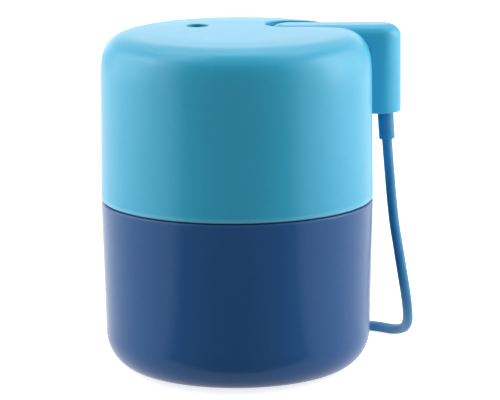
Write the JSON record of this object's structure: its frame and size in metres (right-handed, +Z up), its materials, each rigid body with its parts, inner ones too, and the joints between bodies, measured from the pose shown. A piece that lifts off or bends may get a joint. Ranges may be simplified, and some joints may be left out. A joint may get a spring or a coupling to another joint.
{
  "type": "electric pencil sharpener",
  "caption": "Round two-tone desktop pencil sharpener with a top pencil hole, plug-in power arm and cord, motor-driven helical cutter and lift-off shavings cup.",
  "frame": {"origin": "centre of the base pad's underside, where the sharpener stands", "axes": "+Z up along the body's axis, +X towards the outer end of the power arm, +Y to the back"},
  "size_m": [0.1164, 0.1877, 0.1255],
  "materials": {
    "cover_plastic": "satin sky blue moulded plastic",
    "cup_plastic": "satin navy moulded plastic",
    "rubber": "matt black rubber",
    "dark_plastic": "matt graphite plastic",
    "white_plastic": "natural acetal",
    "steel": "bright steel",
    "brass": "turned brass",
    "copper_winding": "varnished copper winding",
    "board": "green circuit board",
    "wire_red": "red wire insulation",
    "wire_black": "black wire insulation",
    "button_red": "red switch button",
    "cord_jacket": "satin blue cord jacket",
    "plug_plastic": "matt black moulded plug"
  },
  "bodies": {
    "bin": {"shavings_bin": "cup_plastic", "bin_magnet": "steel", "base_pad": "rubber", "cord_lower": "cord_jacket", "cord_coil": "cord_jacket", "cord_tail": "cord_jacket", "usb_plug": "plug_plastic"},
    "head": {"top_cover": "cover_plastic", "pencil_guide": "dark_plastic", "chassis": "dark_plastic", "grip_ring": "rubber", "lower_bush": "brass", "upper_bush": "brass", "ring_gear": "white_plastic", "lower_plate": "steel", "upper_plate": "steel", "pillar_1": "steel", "pillar_2": "steel", "pillar_3": "steel", "pillar_4": "steel", "post_1": "steel", "post_2": "steel", "post_3": "steel", "plate_screw_1": "steel", "plate_screw_2": "steel", "plate_screw_3": "steel", "cover_screw_1": "steel", "cover_screw_2": "steel", "cover_screw_3": "steel", "motor_can": "steel", "motor_magnets": "dark_plastic", "motor_end_cap": "white_plastic", "idler_axle": "steel", "start_switch": "dark_plastic", "reed_switch": "dark_plastic", "circuit_board": "board", "board_capacitor": "dark_plastic", "board_chip": "dark_plastic", "power_socket": "dark_plastic", "socket_contacts": "brass", "supply_wires": "wire_red", "motor_wires": "wire_black"},
    "carrier": {"carrier_frame": "white_plastic", "carrier_gear": "white_plastic", "cutter_axle": "steel"},
    "cutter": {"helical_cutter": "steel", "cutter_pinion": "white_plastic"},
    "idler": {"idler_gear": "white_plastic"},
    "rotor": {"motor_shaft": "steel", "rotor_core": "copper_winding", "motor_pinion": "brass"},
    "start_lever": {"start_lever": "steel"},
    "switch_button": {"switch_button": "button_red"},
    "power_arm": {"arm_shell": "cover_plastic", "arm_liner": "cover_plastic", "arm_foot": "cover_plastic", "arm_plug": "dark_plastic", "arm_contacts": "brass", "strain_relief": "cord_jacket", "cord_upper": "cord_jacket"}
  },
  "joints": [
    {"name": "head_lift", "type": "slide", "parent": "bin", "child": "head", "axis": [0, 0, 1], "range_m": [0, 0.07]},
    {"name": "carrier_spin", "type": "hinge", "parent": "head", "child": "carrier", "pos_m": [-0.0142, 0.0148, 0.0674], "axis": [0, 0, 1], "continuous": true},
    {"name": "cutter_spin", "type": "hinge", "parent": "carrier", "child": "cutter", "pos_m": [-0.0142, 0.0148, 0.04107], "axis": [-0.1228, -0.1228, 0.9848], "continuous": true},
    {"name": "idler_spin", "type": "hinge", "parent": "head", "child": "idler", "pos_m": [0.00263, -0.00203, 0.1039], "axis": [0, 0, 1], "continuous": true},
    {"name": "motor_spin", "type": "hinge", "parent": "head", "child": "rotor", "pos_m": [0.0155, -0.0149, 0.0729], "axis": [0, 0, 1], "continuous": true},
    {"name": "start_lever_swing", "type": "hinge", "parent": "head", "child": "start_lever", "pos_m": [-0.02045, 0.01267, 0.1195], "axis": [-0.3223, 0.9466, 0], "range_deg": [0, 14], "stiffness_Nm_per_rad": 0.003},
    {"name": "switch_button_press", "type": "slide", "parent": "head", "child": "switch_button", "axis": [-0.9466, -0.3223, 0], "range_m": [0, 0.0008]},
    {"name": "arm_unplug", "type": "slide", "parent": "head", "child": "power_arm", "axis": [0, 0, 1], "range_m": [0, 0.03]}
  ],
  "couplings": [
    {"joint": "idler_spin", "follows": "motor_spin", "ratio": -0.2381},
    {"joint": "carrier_spin", "follows": "motor_spin", "ratio": 0.05102},
    {"joint": "cutter_spin", "follows": "motor_spin", "ratio": -0.15306},
    {"joint": "switch_button_press", "follows": "start_lever_swing", "m_per_rad": 0.00307}
  ]
}
